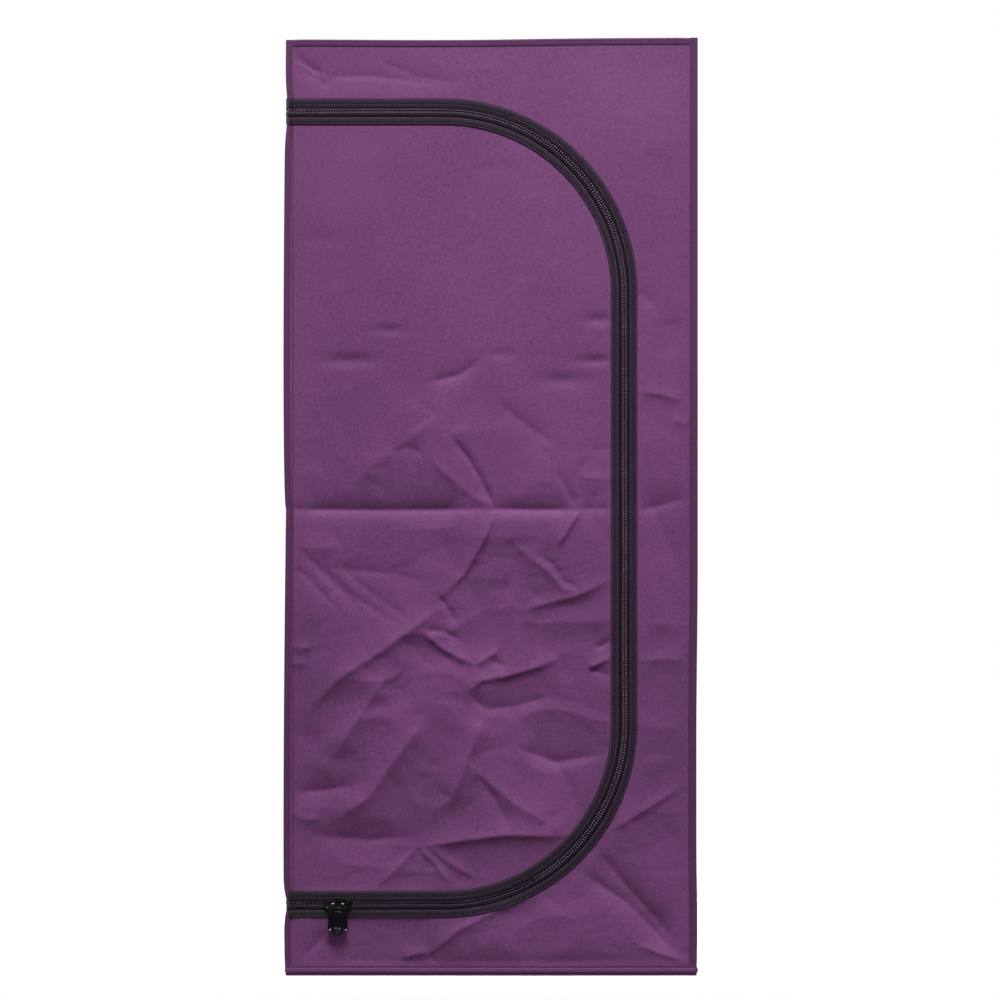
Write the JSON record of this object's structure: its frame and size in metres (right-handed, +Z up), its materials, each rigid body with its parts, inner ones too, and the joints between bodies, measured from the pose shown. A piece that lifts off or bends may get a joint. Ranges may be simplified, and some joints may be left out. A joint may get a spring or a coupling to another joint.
{
  "type": "portable steam sauna",
  "caption": "Free-standing steam sauna cabin: fabric cover with a zipped D-shaped door over a push-together tube frame, with a steam inlet at the rear.",
  "frame": {"origin": "middle of the footprint on the floor", "axes": "+Z up, the door faces -Y and its hinge seam is on the -X side"},
  "size_m": [0.79, 0.8175, 1.806],
  "materials": {
    "cover_fabric": "matte",
    "binding_tape": "matte",
    "floor_fabric": "matte",
    "zip_tape": "matte",
    "zip_coil": "satin",
    "slider_metal": "gloss",
    "tube_steel": "satin",
    "joint_plastic": "matte",
    "port_plastic": "satin",
    "port_rubber": "matte"
  },
  "bodies": {
    "cabin": {"front_panel": "cover_fabric", "left_panel": "cover_fabric", "right_panel": "cover_fabric", "rear_panel": "cover_fabric", "roof_panel": "cover_fabric", "floor_panel": "floor_fabric", "front_binding": "binding_tape", "rear_binding": "binding_tape", "roof_left_binding": "binding_tape", "roof_right_binding": "binding_tape", "base_left_binding": "binding_tape", "base_right_binding": "binding_tape", "zip_tape_frame": "zip_tape", "zip_coil_frame": "zip_coil", "zip_stop_frame_lower": "zip_coil", "zip_stop_frame_upper": "zip_coil", "port_flange": "port_plastic", "port_gasket": "port_rubber", "port_inner_ring": "port_plastic", "corner_base_front_left": "joint_plastic", "corner_base_front_right": "joint_plastic", "corner_base_rear_left": "joint_plastic", "corner_base_rear_right": "joint_plastic", "corner_top_front_left": "joint_plastic", "corner_top_front_right": "joint_plastic", "corner_top_rear_left": "joint_plastic", "corner_top_rear_right": "joint_plastic", "upright_lower_front_left": "tube_steel", "upright_lower_front_right": "tube_steel", "upright_lower_rear_left": "tube_steel", "upright_lower_rear_right": "tube_steel", "upright_upper_front_left": "tube_steel", "upright_upper_front_right": "tube_steel", "upright_upper_rear_left": "tube_steel", "upright_upper_rear_right": "tube_steel", "sleeve_front_left": "joint_plastic", "sleeve_front_right": "joint_plastic", "sleeve_rear_left": "joint_plastic", "sleeve_rear_right": "joint_plastic", "rail_base_front": "tube_steel", "rail_base_rear": "tube_steel", "rail_base_left": "tube_steel", "rail_base_right": "tube_steel", "rail_top_front": "tube_steel", "rail_top_rear": "tube_steel", "rail_top_left": "tube_steel", "rail_top_right": "tube_steel"},
    "door": {"door_panel": "cover_fabric", "zip_tape_door": "zip_tape", "zip_coil_door": "zip_coil", "zip_stop_door_lower": "zip_coil", "zip_stop_door_upper": "zip_coil"},
    "slider_left": {"slider_left": "slider_metal"},
    "slider_right": {"slider_right": "slider_metal"},
    "tab_left": {"tab_left": "slider_metal"},
    "tab_right": {"tab_right": "slider_metal"}
  },
  "joints": [
    {"name": "door_hinge", "type": "hinge", "parent": "cabin", "child": "door", "pos_m": [-0.383, -0.395, 0.903], "axis": [0, 0, -1], "range_deg": [0, 150]},
    {"name": "slider_left_slide", "type": "slide", "parent": "door", "child": "slider_left", "axis": [-1, 0, 0], "range_m": [0, 0.042]},
    {"name": "slider_right_slide", "type": "slide", "parent": "door", "child": "slider_right", "axis": [1, 0, 0], "range_m": [0, 0.175]},
    {"name": "tab_left_swing", "type": "hinge", "parent": "slider_left", "child": "tab_left", "pos_m": [-0.3048, -0.4055, 0.138], "axis": [-1, 0, 0], "range_deg": [0, 175]},
    {"name": "tab_right_swing", "type": "hinge", "parent": "slider_right", "child": "tab_right", "pos_m": [-0.2852, -0.4055, 0.138], "axis": [-1, 0, 0], "range_deg": [0, 175]}
  ]
}
